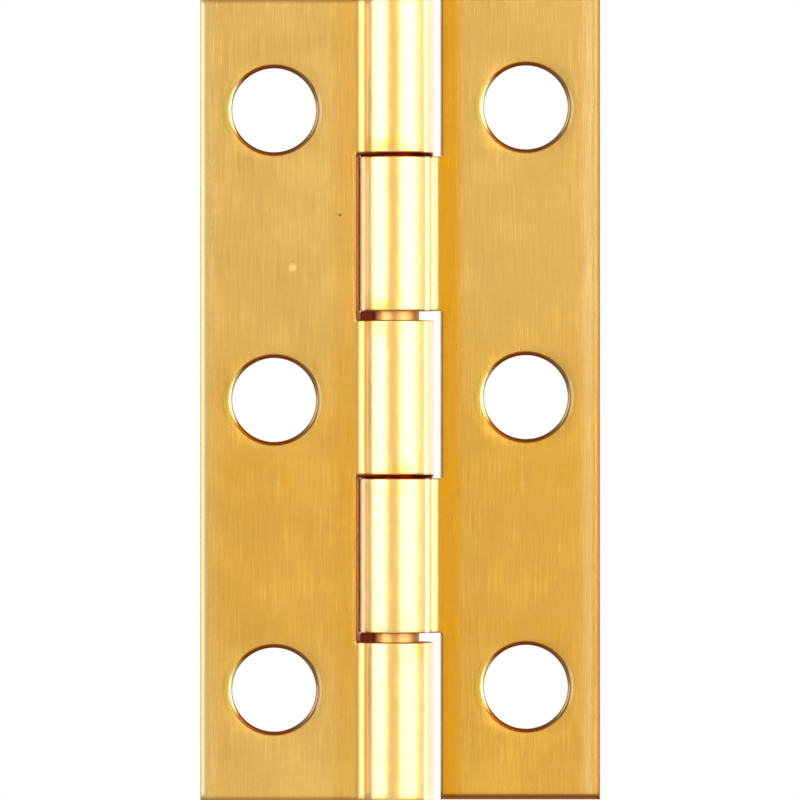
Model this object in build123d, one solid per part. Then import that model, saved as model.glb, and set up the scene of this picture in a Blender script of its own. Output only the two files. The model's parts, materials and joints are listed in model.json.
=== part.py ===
from build123d import *
from math import acos, atan2, degrees, sqrt
import os

# A narrow butt hinge pressed from brass sheet, lying flat open.
# The pin's axis is Z, with the origin on it at mid-length of the fixed leaf.
# The fixed leaf reaches to -X and the moving leaf to +X, both with their plain backs to -Y.
# The countersunk faces look to +Y and meet when the moving leaf turns half a turn about +Z.

# Leaves, of which the moving one is cut from a slightly wider strip
leaf_length = 50.0
fixed_leaf_reach = 12.22
moving_leaf_reach = 12.62
sheet_thickness = 0.9
closed_gap = 0.1
sheared_edge_round = 0.35

# Barrel
pin_diameter = 2.8
pin_running_clearance = 0.03
bend_radius = 0.75
seam_gap = 0.1
knuckle_end_chamfer = 0.1

# Knuckle pattern, which the press cut a little above mid-length
knuckle_count = 5
knuckle_gap = 0.4
pattern_rise = 0.15
fixed_notch_clearance = 0.15
moving_notch_clearance = 0.42

# End play, which lets the moving leaf rest a little higher than the fixed one
moving_leaf_lift = 0.18

# Screw holes
hole_diameter = 5.2
hole_end_distance = 7.0
hole_edge_distance = 4.6
hole_back_chamfer = 0.2
hole_land = 0.15

# Pin ends
pin_end_recess = 0.15
pin_end_chamfer = 0.3

# How close an edge lies to the place where it is looked for
nearby = 0.001

# Sizes that follow from the ones above
pin_radius = pin_diameter / 2
fixed_bore_radius = pin_radius
moving_bore_radius = pin_radius + pin_running_clearance
fixed_barrel_radius = fixed_bore_radius + sheet_thickness
moving_barrel_radius = moving_bore_radius + sheet_thickness
front_face = -closed_gap / 2
back_face = front_face - sheet_thickness
countersink_depth = sheet_thickness - hole_back_chamfer - hole_land
hole_spacing = leaf_length / 2 - hole_end_distance
knuckle_pitch = leaf_length / knuckle_count
moving_knuckle_length = knuckle_pitch - knuckle_gap
fixed_notch_length = knuckle_pitch + knuckle_gap
notch_centres = (pattern_rise - knuckle_pitch, pattern_rise + knuckle_pitch)


def around_pin(radius, angle):
    """The point of the section at this distance and angle in degrees from the pin's axis."""
    return Vector(radius, 0).rotate(Axis.Z, angle)


def rolled_section(bore_radius, reach):
    """Section of a leaf towards +X: the flat plate, its swaged bend, and the roll round the pin."""
    barrel_radius = bore_radius + sheet_thickness
    far_bend_radius = bend_radius + sheet_thickness

    # The bend's arc touches the plate's back and the outside of the roll.
    bend_from_axis = barrel_radius + bend_radius
    bend_drop = bend_radius - back_face
    plate_start = sqrt(bend_from_axis**2 - bend_drop**2)
    bend_centre = (plate_start, -bend_drop)
    roll_start = -degrees(atan2(bend_drop, plate_start))
    bend_turn = 90 + roll_start

    # By the law of cosines, the lip stops one seam gap short of the bend.
    lip_from_bend = far_bend_radius + seam_gap
    cosine = (barrel_radius**2 + bend_from_axis**2 - lip_from_bend**2) / (2 * barrel_radius * bend_from_axis)
    roll_turn = 360 - degrees(acos(cosine))
    lip = roll_start - roll_turn

    with BuildSketch() as section:
        with BuildLine():
            Line((reach, back_face), (plate_start, back_face))
            CenterArc(bend_centre, bend_radius, 90, bend_turn)
            CenterArc((0, 0), barrel_radius, roll_start, -roll_turn)
            Line(around_pin(barrel_radius, lip), around_pin(bore_radius, lip))
            CenterArc((0, 0), bore_radius, lip, roll_turn)
            CenterArc(bend_centre, far_bend_radius, 90 + bend_turn, -bend_turn)
            Line((plate_start, front_face), (reach, front_face))
            Line((reach, front_face), (reach, back_face))
        make_face()
    return section.face()


def leaf_blank(bore_radius, reach):
    """A full-length leaf, with the back edges of its ends and its outer side rounded by the shear."""
    blank = extrude(rolled_section(bore_radius, reach), leaf_length)
    blank = Pos(0, 0, -leaf_length / 2) * blank
    back_edges = blank.edges().filter_by_position(Axis.Y, back_face - nearby, back_face + nearby)
    bend_edge, *sheared = back_edges.group_by(Axis.X)
    return fillet([edge for group in sheared for edge in group], sheared_edge_round)


def cut_barrel(leaf, notch_edge, low, high):
    """The leaf with its roll cut away between two heights, out to the notch's edge."""
    block_side = 4 * moving_barrel_radius
    block = Box(block_side, block_side, high - low, align=(Align.MAX, Align.CENTER, Align.MIN))
    return leaf - Pos(notch_edge, 0, low) * block


def rims_at(leaf, height):
    """The leaf's round edges whose middle lies at this height."""
    return leaf.edges().filter_by(GeomType.CIRCLE).filter_by_position(Axis.Z, height - nearby, height + nearby)


def chamfer_knuckle_ends(leaf, heights):
    """The leaf with the outer edge of the roll chamfered wherever a notch cuts it."""
    for height in heights:
        leaf = chamfer(rims_at(leaf, height).sort_by(SortBy.LENGTH)[-1], knuckle_end_chamfer)
    return leaf


def punch_screw_holes(leaf, reach):
    """The leaf with three holes: a chamfered edge on the back, a land, and a countersink in front."""
    column = reach - hole_edge_distance
    punch = Rot(90, 0, 0) * Cylinder(hole_diameter / 2, 4 * sheet_thickness)
    for height in (-hole_spacing, 0, hole_spacing):
        leaf -= Pos(column, back_face, height) * punch
        leaf = chamfer(rims_at(leaf, height).sort_by(Axis.Y)[-1], countersink_depth)
        leaf = chamfer(rims_at(leaf, height).sort_by(Axis.Y)[0], hole_back_chamfer)
    return leaf


def three_knuckle_leaf():
    """The fixed leaf, whose first, third and fifth knuckles grip the pin."""
    leaf = leaf_blank(fixed_bore_radius, fixed_leaf_reach)
    notch_edge = moving_barrel_radius + fixed_notch_clearance
    for centre in notch_centres:
        low, high = centre - fixed_notch_length / 2, centre + fixed_notch_length / 2
        leaf = cut_barrel(leaf, notch_edge, low, high)
        leaf = chamfer_knuckle_ends(leaf, (low, high))
    leaf = punch_screw_holes(leaf, fixed_leaf_reach)
    return mirror(leaf, about=Plane.YZ)


def two_knuckle_leaf():
    """The moving leaf, whose second and fourth knuckles turn on the pin."""
    leaf = leaf_blank(moving_bore_radius, moving_leaf_reach)
    notch_edge = fixed_barrel_radius + moving_notch_clearance
    knuckle_ends = [c + side * moving_knuckle_length / 2 for c in notch_centres for side in (-1, 1)]
    past_the_end = leaf_length
    for low, high in zip([-past_the_end, *knuckle_ends[1::2]], [*knuckle_ends[0::2], past_the_end]):
        leaf = cut_barrel(leaf, notch_edge, low, high)
    leaf = chamfer_knuckle_ends(leaf, knuckle_ends)
    leaf = punch_screw_holes(leaf, moving_leaf_reach)
    return Pos(0, 0, moving_leaf_lift) * leaf


def hinge_pin():
    """The plain rod through all five knuckles, a little inside the barrel at each end."""
    rod = Cylinder(pin_radius, leaf_length - 2 * pin_end_recess)
    return chamfer(rod.edges().filter_by(GeomType.CIRCLE), pin_end_chamfer)


nodes = {
    "three_knuckle_leaf": three_knuckle_leaf(),
    "two_knuckle_leaf": two_knuckle_leaf(),
    "hinge_pin": hinge_pin(),
}

os.makedirs("parts", exist_ok=True)
for name, shape in nodes.items():
    shape.label = name
    export_step(shape, f"parts/{name}.step")
    box = shape.bounding_box()
    print(name, round(shape.volume, 2), "mm3, valid:", shape.is_valid)
    print("  from", [round(v, 3) for v in box.min], "to", [round(v, 3) for v in box.max])
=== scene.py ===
# %% [markdown]
# A narrow butt hinge in brass
#
# This lesson dresses a small pressed hinge: two brass leaves rolled round one pin.
# The frame brings the solids at their real size, and this script gives them their looks.
# Brass shows its shape almost only through reflections, so smooth, true surfaces come first.
# Each leaf is worked out as the press makes it: a flat blank is cut, then bent round the pin.

# %% Load the frame
import json
import math
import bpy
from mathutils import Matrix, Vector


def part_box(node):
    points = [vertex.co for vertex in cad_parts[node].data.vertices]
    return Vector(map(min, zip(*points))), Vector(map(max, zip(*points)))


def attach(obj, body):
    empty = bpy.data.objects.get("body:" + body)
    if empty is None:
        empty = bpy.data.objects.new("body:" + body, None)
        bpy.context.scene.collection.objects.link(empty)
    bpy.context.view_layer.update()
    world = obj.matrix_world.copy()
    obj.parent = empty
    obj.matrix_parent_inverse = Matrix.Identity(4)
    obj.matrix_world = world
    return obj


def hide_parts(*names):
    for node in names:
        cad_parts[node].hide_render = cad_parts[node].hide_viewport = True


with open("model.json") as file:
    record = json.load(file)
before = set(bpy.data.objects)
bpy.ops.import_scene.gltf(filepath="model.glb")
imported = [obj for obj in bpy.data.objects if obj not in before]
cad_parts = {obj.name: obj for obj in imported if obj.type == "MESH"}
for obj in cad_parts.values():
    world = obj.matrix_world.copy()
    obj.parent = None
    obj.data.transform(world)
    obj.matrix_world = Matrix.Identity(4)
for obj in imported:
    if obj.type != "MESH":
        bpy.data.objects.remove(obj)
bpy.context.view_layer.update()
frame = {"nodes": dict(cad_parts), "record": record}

from types import SimpleNamespace

import bpy
import numpy as np

print("nodes:", sorted(frame["nodes"]))

# %% [markdown]
# The frame is in metres, but a hinge is easier to think about in millimetres.
# The places of the holes and of the plain backs come from the mounts in the record.
# The other sizes are those of the sheet, the pin and the press tool.

# %% Sizes in millimetres
MM = 0.001
mounts = {mount["name"]: mount for mount in frame["record"]["mounts"]}

sheet = 0.9
pin_radius = 1.4
running_clearance = 0.03
bend_radius = 0.75
seam_gap = 0.1
fixed_notch_clearance = 0.15
moving_notch_clearance = 0.42
countersink = 0.55
hole_radius = mounts["fixed_leaf_top_hole"]["dims"]["r_mm"]
back_face = mounts["fixed_leaf_back"]["pos_m"][1] / MM
half_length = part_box("three_knuckle_leaf")[1].z / MM
print("half length", round(half_length, 3), "back face", round(back_face, 3), "hole radius", hole_radius)

# %% [markdown]
# A hinge leaf is a developable surface: the press only bends the sheet, and never stretches it.
# So a point of the leaf needs just three numbers, which it had in the flat blank:
# how far it lies from the outer side, its height, and its depth below the plain back.
# One function bends any such point: straight over the plate, then round the swage, then round the pin.
# Whatever is drawn on the flat blank, such as a hole, a notch or a grain, then follows the metal.

# %% Bend the blank
class Leaf:
    """The sizes of one leaf, with its lengths along the blank where the plate, the bend and the roll end."""

    def __init__(self, reach, bore_radius, notch_edge, notch_slant, side_rollover, lift):
        self.reach = reach
        self.notch = reach - notch_edge
        self.notch_slant = notch_slant
        self.side_rollover = side_rollover
        self.lift = lift
        self.barrel_radius = bore_radius + sheet
        self.roll_radius = self.barrel_radius - sheet / 2

        # The bend's arc touches the plate's back and the outside of the roll.
        bend_from_axis = self.barrel_radius + bend_radius
        self.bend_drop = bend_radius - back_face
        self.plate_start = math.sqrt(bend_from_axis**2 - self.bend_drop**2)
        self.plate_end = reach - self.plate_start
        self.roll_start = -math.atan2(self.bend_drop, self.plate_start)
        self.bend_end = self.plate_end + (bend_radius + sheet / 2) * (math.pi / 2 + self.roll_start)

        # By the law of cosines, the lip stops one seam gap short of the bend.
        lip_from_bend = bend_radius + sheet + seam_gap
        near_sides = self.barrel_radius**2 + bend_from_axis**2
        cosine = (near_sides - lip_from_bend**2) / (2 * self.barrel_radius * bend_from_axis)
        self.roll_end = self.bend_end + self.roll_radius * (2 * math.pi - math.acos(cosine))

    def bent(self, along, height, depth):
        """The places of points of the blank, as an array of x, y and z.
        Up to the plate's end x falls by the length along the blank. Then the points go round the bend's
        centre, and then round the pin, by the length divided by the radius of the sheet's middle."""
        plate = np.stack([self.reach - along, back_face + depth], -1)
        turn = math.pi / 2 + (along - self.plate_end) / (bend_radius + sheet / 2)
        arm = bend_radius + depth
        bend = np.stack([self.plate_start + arm * np.cos(turn), -self.bend_drop + arm * np.sin(turn)], -1)
        turn = self.roll_start - (along - self.bend_end) / self.roll_radius
        arm = self.barrel_radius - depth
        roll = np.stack([arm * np.cos(turn), arm * np.sin(turn)], -1)
        on_plate = (along <= self.plate_end)[:, None]
        on_bend = (along <= self.bend_end)[:, None]
        flat = np.where(on_plate, plate, np.where(on_bend, bend, roll))
        return np.column_stack([flat, height + self.lift])


fixed_leaf = Leaf(
    reach=-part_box("three_knuckle_leaf")[0].x / MM,
    bore_radius=pin_radius,
    notch_edge=pin_radius + running_clearance + sheet + fixed_notch_clearance,
    notch_slant=0.125,
    side_rollover=(0.46, 0.26),
    lift=0.0,
)
moving_leaf = Leaf(
    reach=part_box("two_knuckle_leaf")[1].x / MM,
    bore_radius=pin_radius + running_clearance,
    notch_edge=pin_radius + sheet + moving_notch_clearance,
    notch_slant=0.0,
    side_rollover=(0.14, 0.12),
    lift=mounts["moving_leaf_middle_hole"]["pos_m"][2] / MM,
)
for leaf in (fixed_leaf, moving_leaf):
    print("plate end", round(leaf.plate_end, 2), "bend end", round(leaf.bend_end, 2),
          "roll end", round(leaf.roll_end, 2), "lift", round(leaf.lift, 2))

# %% [markdown]
# The press cuts the blank's rolled side into tabs, and each tab becomes a knuckle.
# The leaf with three tabs is fixed on the pin, and the other one turns on it.
# The pattern of the tabs sits a little above mid-length, as it does on many cheap hinges.
# A worn tool spreads the tabs of the fixed leaf, so each tab has its low and high ends and both spreads.

# %% The tabs
pitch = 10.0
rise = 0.15
knuckle_gap = 0.4
spread_below = 0.21
spread_above = 0.57
notch_half = (pitch + knuckle_gap) / 2
tab_half = (pitch - knuckle_gap) / 2
centres = (rise - pitch, rise + pitch)
fixed_tabs = [
    (-half_length, centres[0] - notch_half, 0, spread_above),
    (centres[0] + notch_half, centres[1] - notch_half, spread_below, spread_above),
    (centres[1] + notch_half, half_length, spread_below, 0),
]
moving_tabs = [(centre - tab_half, centre + tab_half, 0, 0) for centre in centres]
for tabs in (fixed_tabs, moving_tabs):
    print("tabs:", [(round(low, 2), round(high, 2)) for low, high, *spreads in tabs])

# %% [markdown]
# The blank is drawn flat, as a net of four-sided cells between ruled lines.
# The lines run through every corner of the outline, so the notches fall out by leaving cells away.

# %% Rule the net
rounding = 1e-6


def ruled(stops, step):
    """Lines through every stop, with equal steps of at most the given size from each stop to the next."""
    runs = [
        np.linspace(start, end, max(1, math.ceil((end - start) / step - rounding)) + 1)[:-1]
        for start, end in zip(stops, stops[1:])
    ]
    return np.concatenate([*runs, stops[-1:]])


def grid_cells(columns, rows):
    """The four corner numbers of each cell of a net, counted row by row and turning left."""
    first = (np.arange(rows - 1)[:, None] * columns + np.arange(columns - 1)).reshape(-1)
    return np.stack([first, first + 1, first + 1 + columns, first + columns], -1)


def border(cells, count):
    """The edges that only one cell has, each with that cell on its left."""
    start = cells.reshape(-1)
    end = np.roll(cells, -1, axis=1).reshape(-1)
    lonely = ~np.isin(start * count + end, end * count + start)
    return start[lonely], end[lonely]


print("lines from 0 to 1 mm:", ruled(np.array([0.0, 1.0]), 0.3), "cell:", grid_cells(2, 2)[0])

# %% [markdown]
# No edge of pressed metal is sharp. The shear draws the back of the sheet down before it cuts,
# which leaves a soft rollover there, and a crisp edge in front.
# A rollover is a quarter of an ellipse, with a width along the sheet and a depth into it.
# Polished knuckle ends and punched holes have smaller ones of their own.

# %% Edge forms
rollover = {"end": (0.34, 0.24), "knuckle": (0.12, 0.1), "notch": (0.12, 0.08)}
lip_round = (0.06, 0.06)
hole_round = (0.2, 0.2)
front_round = 0.03
net_step = 0.32
roll_step = 0.1
rollover_steps = 6
front_steps = 4

# How close a point lies to a line of the outline to count as on it
near = 0.001

hole_along = fixed_leaf.reach + mounts["fixed_leaf_middle_hole"]["pos_m"][0] / MM
hole_heights = [mounts[f"fixed_leaf_{place}_hole"]["pos_m"][2] / MM for place in ("bottom", "middle", "top")]
print("holes", round(hole_along, 3), "mm from the side, at heights", [round(h, 2) for h in hole_heights])

# %% [markdown]
# A round hole doesn't fit a square net. Each hole gets a square field of its own, where rings of
# cells change step by step from the circle of the hole to the square around it.

# %% Draw the flat blank
field_half = 4.0
field_rings = np.array([0.0, 0.36, 0.55, 0.77])


def hole_field(lines, rows, height):
    """Points of one hole's field, and the numbers of the net's points on the square round it.
    Each ring's point is the circle's, moved towards the square's by that ring's share."""
    first, last = np.searchsorted(lines, [hole_along - field_half - near, hole_along + field_half - near])
    low, high = np.searchsorted(rows, [height - field_half - near, height + field_half - near])
    columns = len(lines)
    across, up = np.arange(first, last), np.arange(low, high)
    square = np.concatenate([low * columns + across, up * columns + last,
                             high * columns + across[::-1] + 1, (up[::-1] + 1) * columns + first])
    corner = np.stack([lines[square % columns], rows[square // columns]], -1)
    centre = np.array([hole_along, height])
    outward = (corner - centre) / np.linalg.norm(corner - centre, axis=1, keepdims=True)
    circle = centre + outward * (hole_radius + hole_round[0])
    share = field_rings[:, None, None]
    return (circle * (1 - share) + corner * share).reshape(-1, 2), square


def net_lines(leaf, tab_rows):
    """The net's lines along the blank and its rows, through every corner of the outline and the fields."""
    end_line = half_length - rollover["end"][0]
    notch_line = leaf.notch - rollover["notch"][0]
    field_rows = [height + side * field_half for height in hole_heights for side in (-1, 1)]
    rows = ruled(np.unique([-end_line, end_line, *field_rows, *tab_rows]), net_step)
    plate_stops = [leaf.side_rollover[0], hole_along - field_half, hole_along + field_half, notch_line]
    plate = ruled(np.array(plate_stops), net_step)
    roll = ruled(np.array([notch_line, leaf.bend_end, leaf.roll_end - lip_round[0]]), roll_step)
    return np.concatenate([plate, roll[1:]]), rows


def flat_blank(leaf, tabs):
    """Points (length along the blank, height) and cells of the blank, inside the rollovers of its edges."""
    end_line = half_length - rollover["end"][0]
    knuckle = rollover["knuckle"][0]
    tabs = [(max(low + knuckle, -end_line), min(high - knuckle, end_line)) for low, high, *spreads in tabs]
    lines, rows = net_lines(leaf, [row for tab in tabs for row in tab])
    points = np.stack([np.tile(lines, len(rows)), np.repeat(rows, len(lines))], -1)
    cells = grid_cells(len(lines), len(rows))

    along, height = points[cells].mean(1).T
    on_plate = along < leaf.notch - rollover["notch"][0]
    in_tab = np.any([(height > low) & (height < high) for low, high in tabs], axis=0)
    beside = np.abs(along - hole_along) < field_half
    in_field = beside & np.any([np.abs(height - h) < field_half for h in hole_heights], axis=0)
    cells = cells[(on_plate | in_tab) & ~in_field]

    for hole_height in hole_heights:
        ring_points, square = hole_field(lines, rows, hole_height)
        ring_numbers = len(points) + np.arange(len(ring_points)).reshape(len(field_rings), len(square))
        numbers = np.vstack([ring_numbers, square])
        inner, outer = numbers[:-1], numbers[1:]
        ring_cells = np.stack([inner, outer, np.roll(outer, -1, 1), np.roll(inner, -1, 1)], -1)
        points = np.vstack([points, ring_points])
        cells = np.vstack([cells, ring_cells.reshape(-1, 4)])

    used, cells = np.unique(cells, return_inverse=True)
    return points[used], cells.reshape(-1, 4)


for leaf, tabs in ((fixed_leaf, fixed_tabs), (moving_leaf, moving_tabs)):
    print("points and cells of the flat blank:", [len(part) for part in flat_blank(leaf, tabs)])

# %% [markdown]
# Now the blank gets its thickness. The net is used twice, for the back and for the front,
# and every edge between them is closed by a wall of narrow strips.
# A strip's rings follow the edge's form: first the rollover, then the cut, then what is in front,
# which is a crisp corner along the outline and a countersink at each hole.

# %% Close the edges
def hole_edges(places):
    """Which of the border's points lie on a hole, and the directions of all of them from the nearest hole."""
    arms = places[:, None] - np.array([[hole_along, height] for height in hole_heights])
    distance = np.linalg.norm(arms, axis=2)
    radial = arms[np.arange(len(places)), distance.argmin(1)] / distance.min(1)[:, None]
    return distance.min(1) < hole_radius + hole_round[0] + near, radial


def edge_rings(leaf, points, cells):
    """The border's edges and, ring by ring, how far the wall lies outside the net and how deep in the sheet.
    Outwards is the sum of the directions that point away from the cells on both sides of a border point."""
    start, end = border(cells, len(points))
    run = points[end] - points[start]
    away = np.stack([run[:, 1], -run[:, 0]], -1)
    total = np.zeros_like(points)
    np.add.at(total, start, away)
    np.add.at(total, end, away)
    rim = np.unique(start)
    along, height = points[rim].T
    in_hole, radial = hole_edges(points[rim])
    out = np.where(in_hole[:, None], -radial, np.sign(np.round(total[rim], 6)))

    # The rollover's width (part 0) and depth (part 1), for edges that face along the blank and up or down
    at_lip = along > leaf.roll_end - lip_round[0] - near
    at_end = np.abs(height) > half_length - rollover["end"][0] - near
    size = np.zeros((2, 2, len(rim)))
    for part in (0, 1):
        size[0, part] = np.where(out[:, 0] < 0, leaf.side_rollover[part],
                                 np.where(at_lip, lip_round[part], rollover["notch"][part]))
        size[1, part] = np.where(at_end, rollover["end"][part], rollover["knuckle"][part])
        size[:, part, in_hole] = hole_round[part]
    weight = out.T**2
    drop = (size[:, 1] * weight).sum(0) / weight.sum(0)
    width = out * size[:, 0].T

    rings = []
    for turn in np.linspace(0, math.pi / 2, rollover_steps + 1)[1:]:
        rings.append((width * math.sin(turn), drop * (1 - math.cos(turn))))
    for turn in np.linspace(0, math.pi / 2, front_steps):
        share = turn / (math.pi / 2)
        crisp = width - out * front_round * (1 - math.cos(turn))
        cone = out * (hole_round[0] - countersink * share)
        crisp_depth = sheet - front_round * (1 - math.sin(turn))
        depth = np.where(in_hole, sheet - countersink * (1 - share), crisp_depth)
        rings.append((np.where(in_hole[:, None], cone, crisp), depth))
    return start, end, rim, rings


# What a worn tool does: how far the notch's wall is dragged, where a spread starts, and where it fades
notch_reach = 0.5
lip_reach = 0.7
hidden_from = 0.42
hidden_reach = 0.6
torn_reach = 0.05
torn_past_bend = 0.9
torn_fade = 0.4


def worn_tool(leaf, tabs, flat, depth):
    """The places on the blank after what a worn press does, which only slides points along the sheet.
    The notch's wall slants, so it moves towards the pin by its slant times the share of the depth.
    Rolling spreads a tab's low end on its hidden half and inside its bend, and its high end at the lip.
    Both are shares of the tab's height, times a ramp of the length along the blank."""
    along, height = flat.T
    half_roll = leaf.bend_end + (leaf.roll_end - leaf.bend_end) * hidden_from
    hidden = np.clip((along - half_roll) / hidden_reach, 0, 1)
    torn = np.clip((along - leaf.notch) / torn_reach, 0, 1)
    torn = torn * np.clip((leaf.bend_end + torn_past_bend - along) / torn_fade, 0, 1)
    hidden = np.maximum(hidden, torn * depth / sheet)
    to_lip = np.clip((along - leaf.roll_end) / lip_reach + 1, 0, 1) ** 2
    moved = height
    for low, high, below, above in tabs:
        share = (height - low) / (high - low)
        inside = (share > -near) & (share < 1 + near)
        moved = moved + inside * (above * to_lip * share - below * hidden * (1 - share))
    beside_notch = np.clip(1 - np.abs(along - leaf.notch) / notch_reach, 0, 1)
    return np.stack([along + leaf.notch_slant * beside_notch * depth / sheet, moved], -1)


def thick_sheet(leaf, tabs):
    """Points, faces and blank places of the whole leaf: its back, its front and the walls between."""
    points, cells = flat_blank(leaf, tabs)
    start, end, rim, rings = edge_rings(leaf, points, cells)
    count, rim_count = len(points), len(rim)
    front = points.copy()
    front[rim] += rings[-1][0]
    walls = [points[rim] + shift for shift, depth in rings[:-1]]
    wall_depths = [depth for shift, depth in rings[:-1]]
    flat = np.vstack([points, *walls, front])
    depth = np.concatenate([np.zeros(count), *wall_depths, np.full(count, sheet)])

    place = np.full(count, -1)
    place[rim] = np.arange(rim_count)
    start, end = place[start], place[end]
    first_front = count + len(walls) * rim_count
    wall_numbers = [count + k * rim_count + np.arange(rim_count) for k in range(len(walls))]
    numbers = [rim, *wall_numbers, first_front + rim]
    faces = [cells[:, ::-1], cells + first_front]
    for ring, next_ring in zip(numbers, numbers[1:]):
        faces.append(np.stack([ring[start], ring[end], next_ring[end], next_ring[start]], -1))
    pressed = worn_tool(leaf, tabs, flat, depth)
    solid = leaf.bent(pressed[:, 0], pressed[:, 1], depth)
    return solid, np.vstack(faces), np.column_stack([flat, depth])


print("rings in a wall:", rollover_steps + front_steps)

# %% [markdown]
# Every piece enters the scene in one way: its points are put into a mesh that sits at the origin,
# it stands for its node of the frame, and it rides on that node's body.
# A leaf's mesh also keeps each point's place on the flat blank, which its material reads.

# %% The two leaves
sharp_angle = 38.0


def add_piece(name, points, faces, body, node, slot):
    """A finished piece in metres, at the origin, that stands for a node and rides on its body."""
    mesh = bpy.data.meshes.new(name)
    mesh.from_pydata(points * MM, [], faces)
    mesh.shade_smooth()
    mesh.set_sharp_from_angle(angle=math.radians(sharp_angle))
    piece = bpy.data.objects.new(name, mesh)
    bpy.context.scene.collection.objects.link(piece)
    even = piece.modifiers.new("even_normals", "WEIGHTED_NORMAL")
    even.keep_sharp = True
    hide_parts(node)
    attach(piece, body)
    print(name, len(mesh.vertices), "points", len(mesh.polygons), "faces")
    return piece


def add_leaf(name, leaf, tabs, body, node, slot, mirrored=False):
    """A leaf's piece, with each point's place on the flat blank kept for its material."""
    points, faces, blank = thick_sheet(leaf, tabs)
    if mirrored:
        points = points * [-1, 1, 1]
        faces = faces[:, ::-1]
    piece = add_piece(name, points, faces.tolist(), body, node, slot)
    attribute = piece.data.attributes.new("blank", "FLOAT_VECTOR", "POINT")
    attribute.data.foreach_set("vector", blank.astype(np.float32).reshape(-1))
    return piece


fixed_piece = add_leaf("leaf_with_three_knuckles", fixed_leaf, fixed_tabs, "fixed_side",
                       "three_knuckle_leaf", "fixed_leaf", mirrored=True)
moving_piece = add_leaf("leaf_with_two_knuckles", moving_leaf, moving_tabs, "moving_side",
                        "two_knuckle_leaf", "moving_leaf")

# %% [markdown]
# The pin is cut from drawn wire, so it is a profile turned round its own axis.
# Its ends are chamfered to start it through the knuckles, and the shears leave them slightly domed.

# %% The pin
pin_chamfer = 0.3
pin_dome = 0.05
cap_soft = 0.03
plain_end = 0.8
shaft_rings = 60
steps_around = 96
pin_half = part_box("hinge_pin")[1].z / MM


def turned(profile, around):
    """Points and faces of a profile of (radius, height) turned round the Z axis.
    A point lies at the radius times the cosine and sine of its angle. Both ends close in a fan."""
    angle = np.linspace(0, 2 * math.pi, around, endpoint=False)
    radius, height = profile.T
    rings = np.stack([radius[1:-1, None] * np.cos(angle), radius[1:-1, None] * np.sin(angle),
                      np.repeat(height[1:-1, None], around, 1)], -1).reshape(-1, 3)
    points = np.vstack([rings, [0, 0, height[0]], [0, 0, height[-1]]])
    first = np.arange(len(rings)).reshape(-1, around)
    low, high = first[:-1], first[1:]
    walls = np.stack([low, np.roll(low, -1, 1), np.roll(high, -1, 1), high], -1).reshape(-1, 4)
    bottom, top = len(rings), len(rings) + 1
    bottom_fan = [[bottom, int(b), int(a)] for a, b in zip(first[0], np.roll(first[0], -1))]
    top_fan = [[top, int(a), int(b)] for a, b in zip(first[-1], np.roll(first[-1], -1))]
    return points, walls.tolist() + bottom_fan + top_fan


cap_radius = pin_radius - pin_chamfer
cap = np.array([
    [0.0, 0.0],
    [cap_radius * 0.5, pin_dome * 0.25],
    [cap_radius - 0.08, pin_dome * 0.75],
    [cap_radius, pin_dome + 0.02],
    [pin_radius - cap_soft, pin_chamfer - cap_soft],
    [pin_radius, pin_chamfer + cap_soft],
])
shaft = np.linspace(-pin_half + plain_end, pin_half - plain_end, shaft_rings)
profile = np.vstack([
    cap + [0, -pin_half],
    np.stack([np.full(shaft_rings, pin_radius), shaft], -1),
    (cap * [1, -1] + [0, pin_half])[::-1],
])
pin_piece = add_piece("pin", *turned(profile, steps_around), "fixed_side", "hinge_pin", "pin")

# %% [markdown]
# A material is a small sum: grain plus slow mottling, times a tint, and so on.
# Blender builds such sums from nodes, and each sign is one Math node.
# A small class wraps a node's output, so that Python's own signs add those nodes and the sum reads as one.

# %% Shader sums
attribute_vector = 1
object_coordinates = 3
camera_ray, glossy_ray, transmission_ray = 0, 3, 6


class Value:
    """A number on its way through a material. Its operators add Math nodes and give the result."""

    def __init__(self, graph, socket):
        self.graph = graph
        self.socket = socket

    def math(self, operation, *others, clamp=False):
        """The result of one Math node."""
        settings = {"operation": operation, "use_clamp": clamp}
        return self.graph.node("ShaderNodeMath", settings, dict(enumerate([self, *others])))[0]

    def __add__(self, other):
        return self.math("ADD", other)

    def __sub__(self, other):
        return self.math("SUBTRACT", other)

    def __mul__(self, other):
        return self.math("MULTIPLY", other)

    def __truediv__(self, other):
        return self.math("DIVIDE", other)

    def __rsub__(self, other):
        return self.math("MULTIPLY", -1).math("ADD", other)

    __radd__ = __add__
    __rmul__ = __mul__

    def size(self):
        """The value without its sign."""
        return self.math("ABSOLUTE")

    def ramp(self, start, end):
        """0 up to the start and 1 from the end, with a soft S between them."""
        settings = {"interpolation_type": "SMOOTHSTEP"}
        return self.graph.node("ShaderNodeMapRange", settings, {0: self, 1: start, 2: end})[0]

    def band(self, middle, half_width, soft):
        """1 within the half width of the middle, and 0 from the soft margin on."""
        return (self - middle).size().ramp(half_width + soft, half_width)


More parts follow.
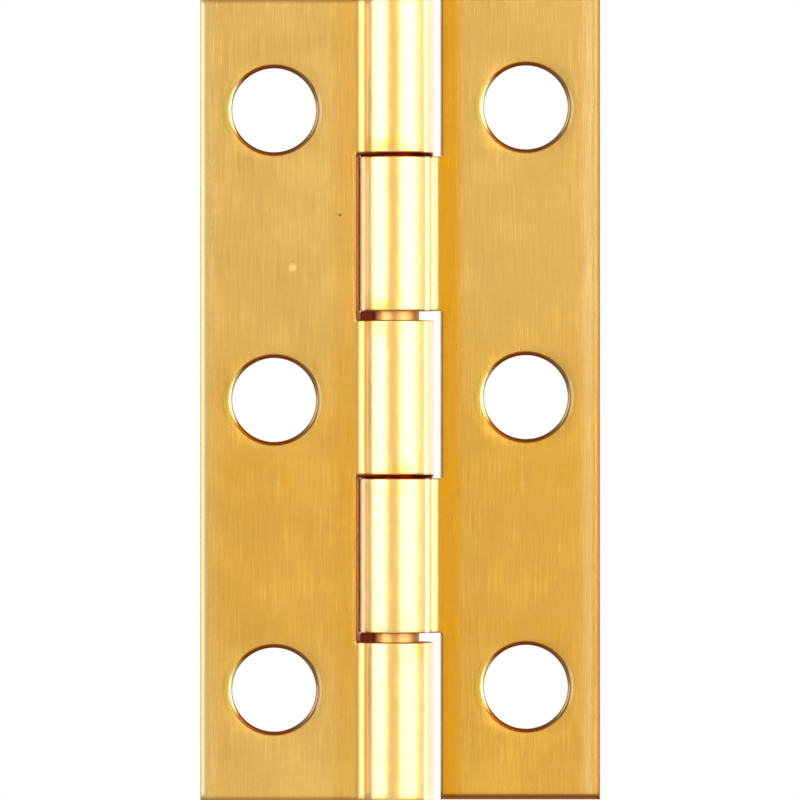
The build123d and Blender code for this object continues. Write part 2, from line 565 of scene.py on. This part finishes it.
class Graph:
    """The nodes of one material or of the world, made through one method."""

    def __init__(self, tree):
        self.tree = tree
        tree.nodes.clear()

    def node(self, kind, settings=None, sockets=None):
        """A new node's outputs. Its settings are made first, then its sockets get values or links."""
        made = self.tree.nodes.new(kind)
        for name, value in (settings or {}).items():
            setattr(made, name, value)
        for name, value in (sockets or {}).items():
            if isinstance(value, Value):
                self.tree.links.new(value.socket, made.inputs[name])
            else:
                made.inputs[name].default_value = value
        return [Value(self, output) for output in made.outputs]

    def mixed(self, share, first, second, blend="MIX"):
        """Two colours mixed by a share."""
        settings = {"data_type": "RGBA", "blend_type": blend}
        colours = [c if isinstance(c, Value) else (*c, 1.0) for c in (first, second)]
        return self.node("ShaderNodeMix", settings, {0: share, 6: colours[0], 7: colours[1]})[2]

    def noise(self, vector, scale, detail=2.0, roughness=0.5):
        """Smooth noise about 0, from -0.5 to 0.5."""
        sockets = {"Vector": vector, "Scale": scale, "Detail": detail, "Roughness": roughness}
        return self.node("ShaderNodeTexNoise", {}, sockets)[0] - 0.5

    def joined(self, x, y, z=0.0):
        """Three numbers as one vector."""
        return self.node("ShaderNodeCombineXYZ", {}, {0: x, 1: y, 2: z})[0]

    def length(self, x, y):
        """The distance of the point (x, y) from 0."""
        return self.node("ShaderNodeVectorMath", {"operation": "LENGTH"}, {0: self.joined(x, y)})[1]


def graph_of(name):
    """A new material and the graph of its nodes."""
    material = bpy.data.materials.new(name)
    material.use_nodes = True
    return material, Graph(material.node_tree)


print("a value knows", [name for name in vars(Value) if not name.startswith("_")])

# %% [markdown]
# Rolled brass sheet has a fine grain along its length, which the rolls and a last brushing leave.
# It is drawn on the flat blank: noise squeezed across the sheet and drawn out along it.
# The barrel is polished by the rolling die, so there the grain fades and the metal turns smooth.
# The shear tears the cut faces, which stay rough and dull. The blank's depth tells the shader where.
# A polished roll shows little but stripes of what it reflects, so those reflections are painted on as stripes
# with colours of their own.

# %% Brass colours
# Plate, barrel and bend, with painted shade beside the barrel and painted reflections on the roll
dark_brass = (0.53, 0.31, 0.060)
pale_brass = (0.66, 0.40, 0.092)
warm_tint = (0.99, 0.90, 0.51)
barrel_brass = (0.59, 0.345, 0.022)
barrel_shade_brass = (0.56, 0.26, 0.013)
corner_shade_brass = (0.62, 0.26, 0.0)
amber_reflection_brass = (0.225, 0.15, 0.019)
pale_reflection_brass = (0.95, 0.84, 0.56)
outline_reflection_brass = (0.95, 0.80, 0.55)

# Ends, hole rims and cut faces, with their painted highlights, reflections and shade
end_dark_reflection = (0.17, 0.035, 0.001)
rim_highlight_brass = (0.5, 0.42, 0.22)
rim_stain_and_shade = (0.15, 0.025, 0.001)
rim_shade_brass = (0.17, 0.095, 0.028)
rim_slope_shade_tint = (0.80, 0.88, 0.60)
cut_brass = (0.42, 0.17, 0.03)
notch_shade_brass = (0.17, 0.07, 0.016)
torn_brass = (0.72, 0.35, 0.12)
recess_shade_brass = (0.45, 0.06, 0.004)
lip_shade_brass = (0.1, 0.008, 0.001)

# Marks of use, and the pin with its painted shade in the thin gaps
worn_brass = (0.16, 0.07, 0.018)
bright_brass = (0.78, 0.54, 0.14)
dark_wire = (0.50, 0.25, 0.05)
pale_wire = (0.60, 0.32, 0.075)
gap_shade_wire = (0.16, 0.004, 0.001)

hole_spacing = hole_heights[2] - hole_heights[1]
print("brass from", dark_brass, "to", pale_brass, "with holes", round(hole_spacing, 2), "mm apart")

# %% [markdown]
# The two leaves differ in tone and in the painted light on them, so each has a finish of its own.
# Its shade is the share of pale brass, and its deepening the strength of the painted shade by the barrel.
# The glare side is the sign of the length along the blank that points to the left of the picture.
# The flank is the angle from which the roll gets its painted pale reflection, and the rows say where a
# notch's wall starts.
# A mark has its length along the blank, its height, its radius and its colour.

# %% Two finishes
fixed_finish = SimpleNamespace(
    shade=0.45,
    deepening=0.35,
    glare_side=-1,
    flank=50.0,
    side_dark_reflection=(0.38, 0.29, 0.13),
    bend_colour=(0.50, 0.29, 0.08),
    notch_rows=(notch_half, notch_half - 0.1),
    marks=[(8.69, 11.49, 0.13, worn_brass), (5.74, 8.21, 0.34, bright_brass)],
)
moving_finish = SimpleNamespace(
    shade=0.0,
    deepening=1.0,
    glare_side=1,
    flank=61.0,
    side_dark_reflection=(0.20, 0.10, 0.03),
    bend_colour=(0.50, 0.34, 0.11),
    notch_rows=(tab_half, tab_half + 0.1),
    marks=[],
)
print("marks:", [len(finish.marks) for finish in (fixed_finish, moving_finish)])

# %% [markdown]
# The leaf's material is painted zone by zone, as a coat over a coat.
# Each zone is a mask between 0 and 1, made from the place on the blank by soft ramps and bands.
# The zones are kept, because the polish and the share of bare metal follow them too.

# %% Paint the leaves
# Where on the roll the painted reflection stripes lie and the dents fade, in degrees, and how strong relief
# and polish are
amber_angle = 51.0
pale_angle = -56.0
dents_fade = (72.0, 46.0)
dent_height = 26.0
bump_strength = 0.2
bump_distance = 0.00002
polish_roughness = 0.25
polish_index = 2.2


class LeafBrass:
    """Brushed brass for one leaf, painted zone by zone. Lengths are in millimetres on the blank,
    and facing is the angle in degrees from the side of the roll that looks straight out of the back."""

    def __init__(self, name, leaf, finish):
        self.material, self.graph = graph_of(name)
        self.leaf = leaf
        self.finish = finish
        blank = self.graph.node("ShaderNodeAttribute", {"attribute_name": "blank"})[attribute_vector]
        self.along, self.height, self.depth = self.graph.node("ShaderNodeSeparateXYZ", {}, {0: blank})
        stretched = self.graph.joined(self.along * 9.0, self.height * 0.3, self.depth * 5.0)
        self.grain = self.graph.noise(stretched, 1.0, detail=4.0, roughness=0.6)
        self.speckle = self.graph.noise(blank, 7.0, detail=2.0)
        self.mottle = self.graph.noise(blank, 0.22, detail=3.0)
        self.dents = self.graph.noise(blank, 0.6, detail=2.0)
        self.polished = self.along.ramp(leaf.plate_end - 0.1, leaf.plate_end + 0.35)
        self.from_tab_centre = ((self.height - rise).size() - pitch).size()
        turn_per_mm = math.degrees(1 / leaf.roll_radius)
        self.facing = (leaf.bend_end - self.along) * turn_per_mm + 90 + math.degrees(leaf.roll_start)

    def paint(self, share, colour, blend="MIX"):
        """Lay a colour over what is painted so far, by a share between 0 and 1."""
        self.colour = self.graph.mixed(share, self.colour, colour, blend)

    def paint_plate(self):
        """Dark and pale brass mixed by the grain, warmer in the lower half, and paler towards the lower end
        as a painted lift of the light.
        """
        height = self.height
        share = self.grain * 1.2 + self.speckle * 0.6 + self.mottle * 1.7 + self.finish.shade
        # Painted light: a paler share towards the lower end, where the lamps' light falls off.
        share = share + height.ramp(-14.0, -24.0) * 0.3
        self.colour = self.graph.mixed(share.math("MAXIMUM", 0.0, clamp=True), dark_brass, pale_brass)
        cooler = height.ramp(-12.0, -22.0) * (1 - self.finish.deepening) * 1.3
        self.paint(height.ramp(7.0, -3.0) * (1 - cooler), warm_tint, "MULTIPLY")

    def paint_barrel(self):
        """The polished roll, its bend, painted shade and reflection of the barrel on the plate beside it, and
        painted shade in the corners by the notches.
        """
        along, leaf, finish = self.along, self.leaf, self.finish
        self.paint(self.polished, barrel_brass)
        # Painted shade and reflection of the barrel on the plate beside it, strongest on the moving leaf.
        self.shade_by_barrel = along.band(leaf.plate_end - 0.4, 0.45, 0.9) * (1 - self.polished) * finish.deepening
        self.paint(self.shade_by_barrel, barrel_shade_brass)
        # Painted shade in the corners by the notches, next to the ends of the knuckles.
        corner = self.from_tab_centre.band(tab_half - 0.5, 0.25, 0.4)
        corner = corner * along.band(leaf.notch - 0.45, 0.25, 0.35)
        self.paint(corner * finish.deepening * 0.45, corner_shade_brass)
        half_bend = (leaf.bend_end - leaf.plate_end) / 2
        self.bend = along.band((leaf.plate_end + leaf.bend_end) / 2, half_bend - 0.05, 0.15)
        self.paint(self.bend, finish.bend_colour)

    def paint_stripes(self):
        """Painted reflections on the roll: an amber stripe on the left, a pale one on the right, and a pale
        flank and outline away from the plate.
        """
        facing, flank = self.facing, self.finish.flank
        to_left = facing * -self.finish.glare_side
        # Painted reflections on the polished roll: an amber stripe on the left and a pale one on the right.
        self.paint(to_left.band(amber_angle, 6.0, 5.0) * self.polished * 0.9, amber_reflection_brass)
        to_back = facing.ramp(-190.0, -100.0) * self.polished
        pale_flank = facing.ramp(6.0 - flank, -1.0 - flank) * to_back
        self.pale = pale_flank.math("MAXIMUM", to_left.band(pale_angle, 5.0, 4.0) * self.polished)
        self.paint(self.pale, pale_reflection_brass)
        # Painted pale reflection at the roll's outline, past the flank.
        self.outline = facing.ramp(-13.0 - flank, -16.0 - flank) * to_back
        self.paint(self.outline, outline_reflection_brass)

    def paint_borders(self):
        """A slightly paler strip by the outer side, and painted dark reflection on the side's own rollover
        and on the rollovers of the plate's ends.
        """
        along, height, deepening = self.along, self.height, self.finish.deepening
        strip = along.ramp(1.35, 0.7) * along.ramp(0.3, 0.6) * deepening
        self.paint(strip * 0.12, pale_reflection_brass)
        drawn_down = self.leaf.side_rollover[0]
        # Painted dark reflection on the outer side's rollover.
        self.side = along.ramp(drawn_down + 0.15, drawn_down * 0.6)
        self.paint(self.side, self.finish.side_dark_reflection)
        # Painted dark reflection on the rollovers of the plate's ends, darkest at the moving leaf's lower
        # end.
        end = height.size().ramp(half_length - 0.46, half_length - 0.2) * (1 - self.polished)
        self.paint(end * (0.4 + height.ramp(0.0, -1.0) * deepening**2 * 0.6), end_dark_reflection)

    def paint_holes(self):
        """The holes' rims: a dark stain with painted shade all round, a painted highlight on the left,
        painted shade on the right, a painted pale ring outside on the right, and painted shade outside on the
        left.
        """
        glare_side = self.finish.glare_side
        up = self.height - (self.height / hole_spacing).math("ROUND") * hole_spacing
        across = self.along - hole_along
        distance = self.graph.length(across, up)
        to_left = across / distance * glare_side
        to_right = across / distance * -glare_side
        glare = ((across * glare_side + up * 0.1) / distance).ramp(0.72, 1.0)
        arc = to_right.ramp(0.85, 1.0)
        self.rim = (distance + arc * 0.06).ramp(hole_radius + 0.31, hole_radius + 0.19)
        self.rim = self.rim * self.depth.ramp(0.3, 0.2)
        # Painted highlight: a thin pale ring just outside the rim on the right.
        self.paint(arc * distance.band(hole_radius + 0.29, 0.06, 0.06) * 0.25, pale_reflection_brass)
        # Painted highlight on the rim's left side.
        self.paint(self.rim * glare, rim_highlight_brass)
        # Elsewhere the rim gets a dark stain, partly real and partly painted shade.
        self.paint(self.rim * (1 - glare) * 0.96, rim_stain_and_shade)
        # Painted shade on the rim's right side.
        self.paint(self.rim * to_right.ramp(0.3, 0.9), rim_shade_brass)
        # Painted shade on the slope just outside the rim, on the left.
        slope_shade_mask = to_left.ramp(0.7, 0.98) * distance.band(hole_radius + 0.45, 0.1, 0.15)
        self.paint(slope_shade_mask, rim_slope_shade_tint, "MULTIPLY")

    def paint_cuts(self):
        """The cut faces: dull all round, torn in the notches, with painted shade along the notch edges, on
        the cut faces in the gaps between the knuckles, and on the lip.
        """
        along, height, depth, leaf = self.along, self.height, self.depth, self.leaf
        self.edge = depth.ramp(0.0, 0.05) * (1 - self.rim) * (1 - self.side)
        cut = depth.ramp(0.12, 0.25) * depth.ramp(sheet, sheet - 0.03)
        in_barrel = along.ramp(leaf.notch - 0.3, leaf.notch - 0.2)
        at_notch = along.band(leaf.notch - 0.04, 0.09, 0.02)
        at_notch = at_notch * self.from_tab_centre.ramp(*self.finish.notch_rows)
        self.notch_wall = at_notch * cut
        lip = along.ramp(leaf.roll_end - 0.1, leaf.roll_end - 0.06)
        inner_end = cut * in_barrel * height.size().ramp(half_length - 0.5, half_length - 1.0)
        self.dark = inner_end.math("MAXIMUM", lip) * (1 - self.notch_wall)
        self.paint(self.edge * (0.35 + in_barrel * 0.45), cut_brass)
        # Painted shade along the notch edge, beside the gap.
        self.paint(at_notch * 0.9, notch_shade_brass)
        self.paint(self.notch_wall, torn_brass)
        # Painted shade on the cut faces in the gaps between the knuckles and on the lip.
        self.paint(self.dark, recess_shade_brass)
        # The lip's end face, deeper still in painted shade.
        self.paint(lip * 0.7, lip_shade_brass)

    def paint_marks(self):
        """The few marks of use, each a soft round spot."""
        for along, height, radius, colour in self.finish.marks:
            spot = self.graph.length(self.along - along, self.height - height).ramp(radius, radius * 0.4)
            self.paint(spot * 0.8, colour)

    def finished(self):
        """The material. Its coat is the polish, which smudges dull by the gaps, and its bump the relief."""
        polished, dark, side = self.polished, self.dark, self.side
        smudge = (self.dents * 2.5 + self.speckle * 0.5).ramp(-0.1, 0.5)
        smudge = smudge * self.from_tab_centre.band(pitch / 2, 0.7, 0.8)
        roughness = 0.25 + self.grain * 0.12 + polished * 0.12 + dark * 0.2 + side * 0.2
        metal = 1 - self.pale * 0.6 - self.outline * 0.3 - self.notch_wall * 0.9 - dark * 0.4
        polish = (0.12 + polished * 0.88) * (1 - dark) * (1 - self.edge * 0.8) * (1 - self.bend * 0.8)
        polish = polish * (1 - side) * (1 - self.shade_by_barrel * 0.9) * (1 - self.rim) * (1 - smudge * 0.6)
        dented = self.dents * polished * self.facing.size().ramp(*dents_fade)
        relief = self.grain * (1 - polished * 0.9) + dented * dent_height
        bump = self.graph.node("ShaderNodeBump", {}, {
            "Height": relief, "Strength": bump_strength, "Distance": bump_distance})[0]
        shader = self.graph.node("ShaderNodeBsdfPrincipled", {}, {
            "Base Color": self.colour, "Metallic": metal.math("MAXIMUM", 0.0), "Roughness": roughness,
            "Coat Weight": polish, "Coat Roughness": polish_roughness, "Coat IOR": polish_index,
            "Normal": bump})[0]
        self.graph.node("ShaderNodeOutputMaterial", {}, {0: shader})
        return self.material


def brass_sheet(name, leaf, finish):
    """The material of one leaf, in the order in which the zones cover each other."""
    brass = LeafBrass(name, leaf, finish)
    brass.paint_plate()
    brass.paint_barrel()
    brass.paint_stripes()
    brass.paint_borders()
    brass.paint_holes()
    brass.paint_cuts()
    brass.paint_marks()
    return brass.finished()


fixed_piece.data.materials.append(brass_sheet("brass_sheet_fixed_leaf", fixed_leaf, fixed_finish))
moving_piece.data.materials.append(brass_sheet("brass_sheet_moving_leaf", moving_leaf, moving_finish))
print("nodes in a leaf's material:", len(fixed_piece.active_material.node_tree.nodes))

# %% [markdown]
# The pin is drawn brass, streaked along its length, with painted shade where it shows in the thin gaps
# between the knuckles.

# %% Paint the pin
def brass_wire(name):
    """Drawn brass with fine streaks: noise on the piece's own coordinates, squeezed across the wire."""
    material, graph = graph_of(name)
    place = graph.node("ShaderNodeTexCoord")[object_coordinates]
    stretched = graph.node("ShaderNodeMapping", {}, {0: place, 3: (4000.0, 4000.0, 300.0)})[0]
    streak = graph.noise(stretched, 1.0)
    height = graph.node("ShaderNodeSeparateXYZ", {}, {0: place})[2] / MM
    colour = graph.mixed(streak + 0.5, dark_wire, pale_wire)
    # Painted shade on the pin in the thin gaps below the fixed knuckles.
    gap_shade = 0.0
    for low, *others in fixed_tabs:
        gap_shade = height.band(low - (knuckle_gap - moving_leaf.lift) / 2, 0.2, 0.05).math("MAXIMUM", gap_shade)
    colour = graph.mixed(gap_shade, colour, gap_shade_wire)
    shader = graph.node("ShaderNodeBsdfPrincipled", {}, {
        "Base Color": colour, "Metallic": 1.0, "Roughness": 0.5 + streak * 0.1,
        "Coat Weight": (1 - gap_shade) * 0.2, "Coat Roughness": 0.3, "Coat IOR": 2.0})[0]
    graph.node("ShaderNodeOutputMaterial", {}, {0: shader})
    return material


pin_piece.data.materials.append(brass_wire("brass_wire"))
print("materials:", [m.name for m in bpy.data.materials if m.users])

# %% [markdown]
# The stage is plain: a pale floor well below the hinge, white all round, and soft light.
# Floor and world both show white to what the metal reflects, and the world to the camera too.
# Matt surfaces get a little less light than that.

# %% Floor and world
floor_drop = 100.0
floor_half = 700.0
floor_grey = 0.86
plain_light = 0.8
white = (1.0, 1.0, 1.0, 1.0)


def floor_paint():
    """Matt pale paint that shows plain white in a reflection and through glass."""
    paint, graph = graph_of("floor_paint")
    rays = graph.node("ShaderNodeLightPath")
    reflected = rays[glossy_ray].math("MAXIMUM", rays[transmission_ray])
    grey = (floor_grey, floor_grey, floor_grey, 1.0)
    matt = graph.node("ShaderNodeBsdfPrincipled", {}, {"Base Color": grey, "Roughness": 0.6})[0]
    bright = graph.node("ShaderNodeEmission", {}, {"Color": white, "Strength": 1.0})[0]
    mixed = graph.node("ShaderNodeMixShader", {}, {0: reflected, 1: matt, 2: bright})[0]
    graph.node("ShaderNodeOutputMaterial", {}, {0: mixed})
    return paint


floor_mesh = bpy.data.meshes.new("floor")
corners = np.array([[-1, -1], [1, -1], [1, 1], [-1, 1]]) * floor_half
floor_mesh.from_pydata(np.column_stack([corners, np.full(4, -floor_drop)]) * MM, [], [[0, 1, 2, 3]])
floor_mesh.materials.append(floor_paint())
floor = bpy.data.objects.new("floor", floor_mesh)
bpy.context.scene.collection.objects.link(floor)

world = bpy.data.worlds.new("studio")
world.use_nodes = True
bpy.context.scene.world = world
graph = Graph(world.node_tree)
rays = graph.node("ShaderNodeLightPath")
seen = rays[camera_ray].math("MAXIMUM", rays[glossy_ray]).math("MAXIMUM", rays[transmission_ray])
strength = plain_light + seen * (1.0 - plain_light)
sky = graph.node("ShaderNodeBackground", {}, {0: white, 1: strength})[0]
graph.node("ShaderNodeOutputWorld", {}, {0: sky})
print("floor", floor_drop, "mm below the pin's middle")

# %% [markdown]
# Two tall lamps left and right of the camera draw the white bands on the roll.
# Two weaker ones stand beside and behind the hinge, for its flanks and its other side.

# %% Soft lamps
lamp_distance = 800.0
lamp_height = 900.0


def softbox(name, azimuth, width, brightness):
    """A tall lamp level with the object: azimuth 0 stands at the camera, and 90 to the right.
    Its power is its area times pi times the brightness that a mirror shows of it."""
    light = bpy.data.lights.new(name, "AREA")
    light.shape = "RECTANGLE"
    light.size = width * MM
    light.size_y = lamp_height * MM
    light.energy = brightness * math.pi * width * lamp_height * MM**2
    lamp = bpy.data.objects.new(name, light)
    turn = math.radians(azimuth)
    lamp.location = np.array([math.sin(turn), -math.cos(turn), 0.0]) * lamp_distance * MM
    lamp.rotation_euler = (math.pi / 2, 0, turn)
    lamp.visible_camera = False
    bpy.context.scene.collection.objects.link(lamp)
    return lamp


lamps = [
    softbox("left_lamp", azimuth=-56, width=680, brightness=5.3),
    softbox("right_lamp", azimuth=37.5, width=800, brightness=5.3),
    softbox("right_side_lamp", azimuth=88, width=480, brightness=1.0),
    softbox("left_back_lamp", azimuth=-134, width=340, brightness=2.6),
]
print("lamps in watts:", {lamp.name: round(lamp.data.energy, 2) for lamp in lamps})

# %% [markdown]
# The camera stands far off with a long lens, so the hinge keeps its proportions.
# It looks straight at the plain backs, and the picture is as tall as 49.69 mm of the leaves.

# %% Camera
lens = 400.0
sensor = 36.0
picture_height = 49.69
picture_middle = 0.2

camera_data = bpy.data.cameras.new("camera")
camera_data.lens = lens
camera_data.sensor_width = sensor
camera_data.clip_start = 0.01
camera_data.clip_end = 10.0
camera = bpy.data.objects.new("camera", camera_data)
distance = picture_height / 2 / (sensor / 2 / lens)
camera.location = np.array([picture_middle, back_face - distance, 0.0]) * MM
camera.rotation_euler = (math.pi / 2, 0, 0)
bpy.context.scene.collection.objects.link(camera)
bpy.context.scene.camera = camera
bpy.context.scene.view_settings.view_transform = "Standard"
print("camera", round(distance), "mm away")

# %% [markdown]
# At last the scene is brought up to date.

# %% Update the scene
bpy.context.view_layer.update()
